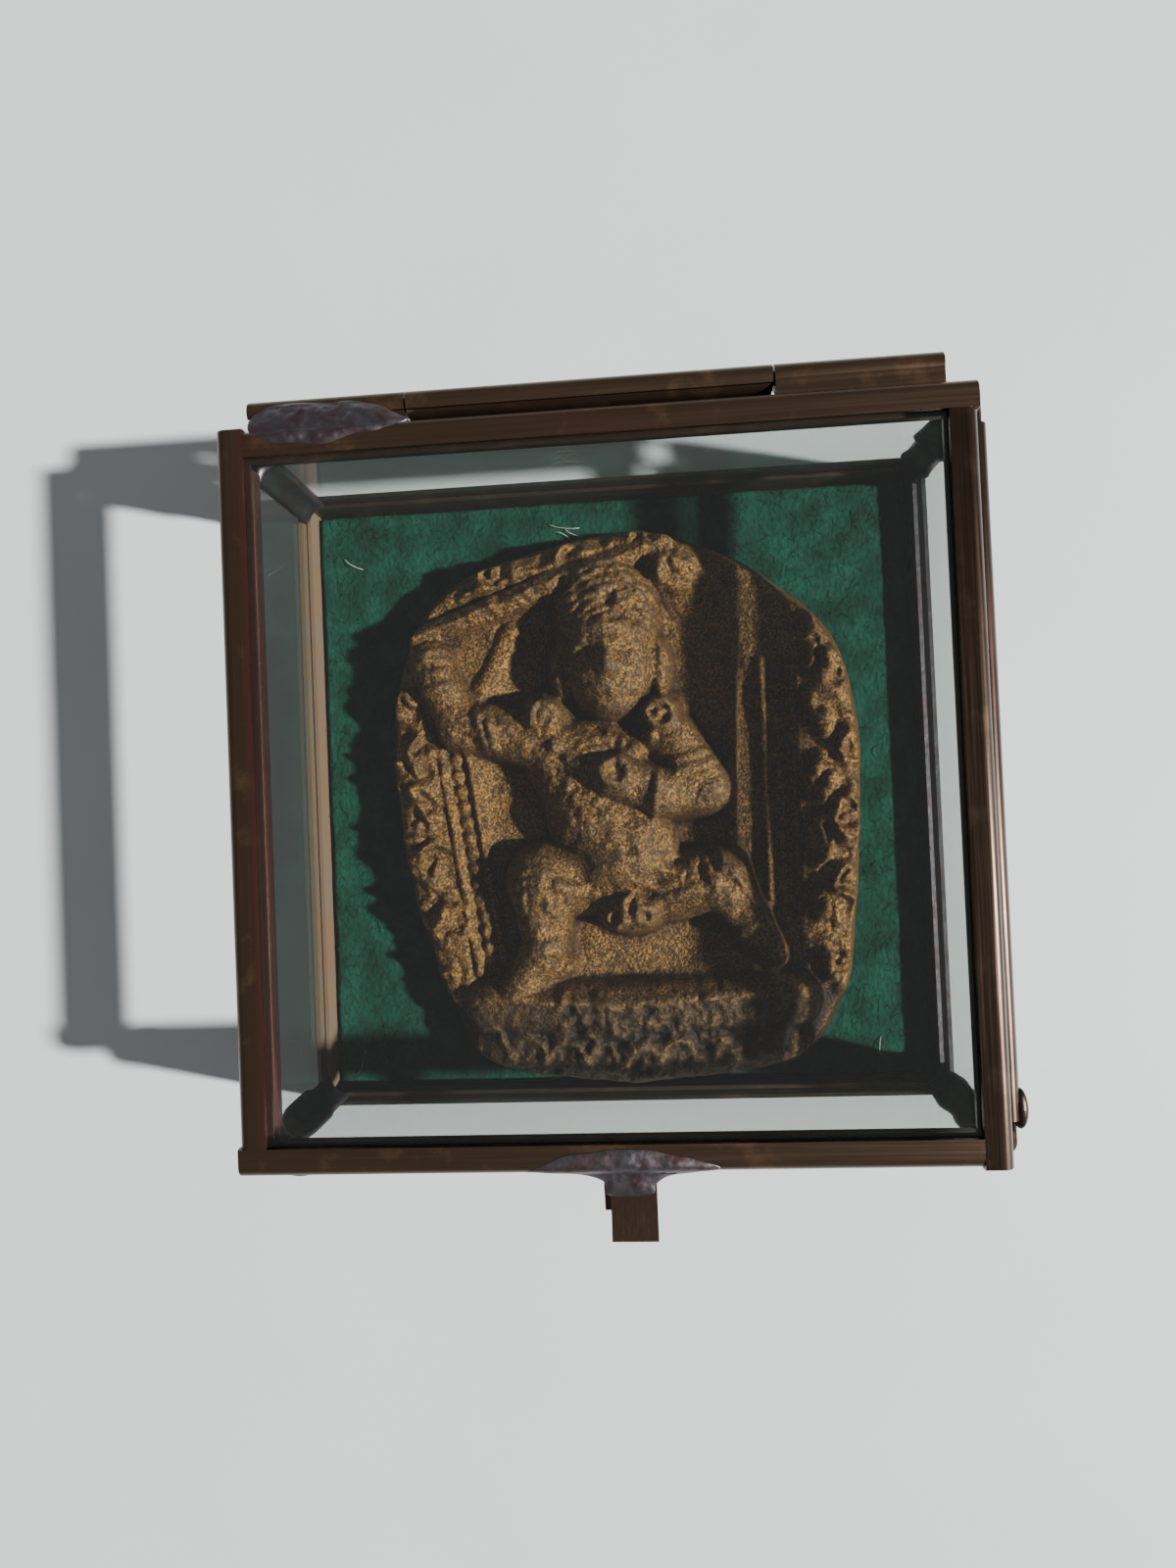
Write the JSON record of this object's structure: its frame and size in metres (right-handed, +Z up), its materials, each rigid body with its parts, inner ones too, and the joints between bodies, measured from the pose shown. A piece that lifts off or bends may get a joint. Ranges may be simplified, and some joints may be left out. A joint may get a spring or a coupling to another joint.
{
  "type": "ghau amulet box",
  "caption": "Hinged glass casket with folded, soldered brass edges, a felt lining and a gilded votive relief plaque, kept shut by the weight of its lid.",
  "frame": {"origin": "under the middle of the whole box, on the surface that it stands on", "axes": "+Z up, +X to the right seen from the lift tab, +Y towards the hinge"},
  "size_m": [0.0788, 0.0858, 0.0253],
  "materials": {
    "window_glass": "clear float glass, a little dusty",
    "dark_brass": "folded brass sheet with a dark brown patina, rubbed to gold on edges",
    "solder": "dull grey tin-lead solder",
    "green_felt": "pressed wool felt",
    "gilded_clay": "pressed clay with worn granular gold paint"
  },
  "bodies": {
    "case": {"back_pane": "window_glass", "base_rail_back": "dark_brass", "base_rail_front": "dark_brass", "base_rail_left": "dark_brass", "base_rail_right": "dark_brass", "corner_post_back_left": "dark_brass", "corner_post_back_right": "dark_brass", "corner_post_front_left": "dark_brass", "corner_post_front_right": "dark_brass", "corner_solder_seams": "solder", "felt_lining": "green_felt", "floor_pane": "window_glass", "front_pane": "window_glass", "hinge_barrel": "dark_brass", "hinge_pin": "dark_brass", "left_pane": "window_glass", "rail_end_solder": "solder", "right_pane": "window_glass", "solder_hinge_barrel": "solder", "top_rail_back": "dark_brass", "top_rail_front": "dark_brass", "top_rail_left": "dark_brass", "top_rail_right": "dark_brass", "votive_plaque": "gilded_clay"},
    "lid": {"hinge_knuckle_left": "dark_brass", "hinge_knuckle_right": "dark_brass", "lid_corner_solder": "solder", "lid_pane": "window_glass", "lid_rail_back": "dark_brass", "lid_rail_front": "dark_brass", "lid_rail_left": "dark_brass", "lid_rail_right": "dark_brass", "lift_tab": "dark_brass", "solder_hinge_left": "solder", "solder_hinge_right": "solder", "solder_lift_tab": "solder"}
  },
  "joints": [
    {"name": "lid_hinge", "type": "hinge", "parent": "case", "child": "lid", "pos_m": [0, 0.04158, 0.02245], "axis": [-1, 0, 0], "range_deg": [0, 195]}
  ]
}
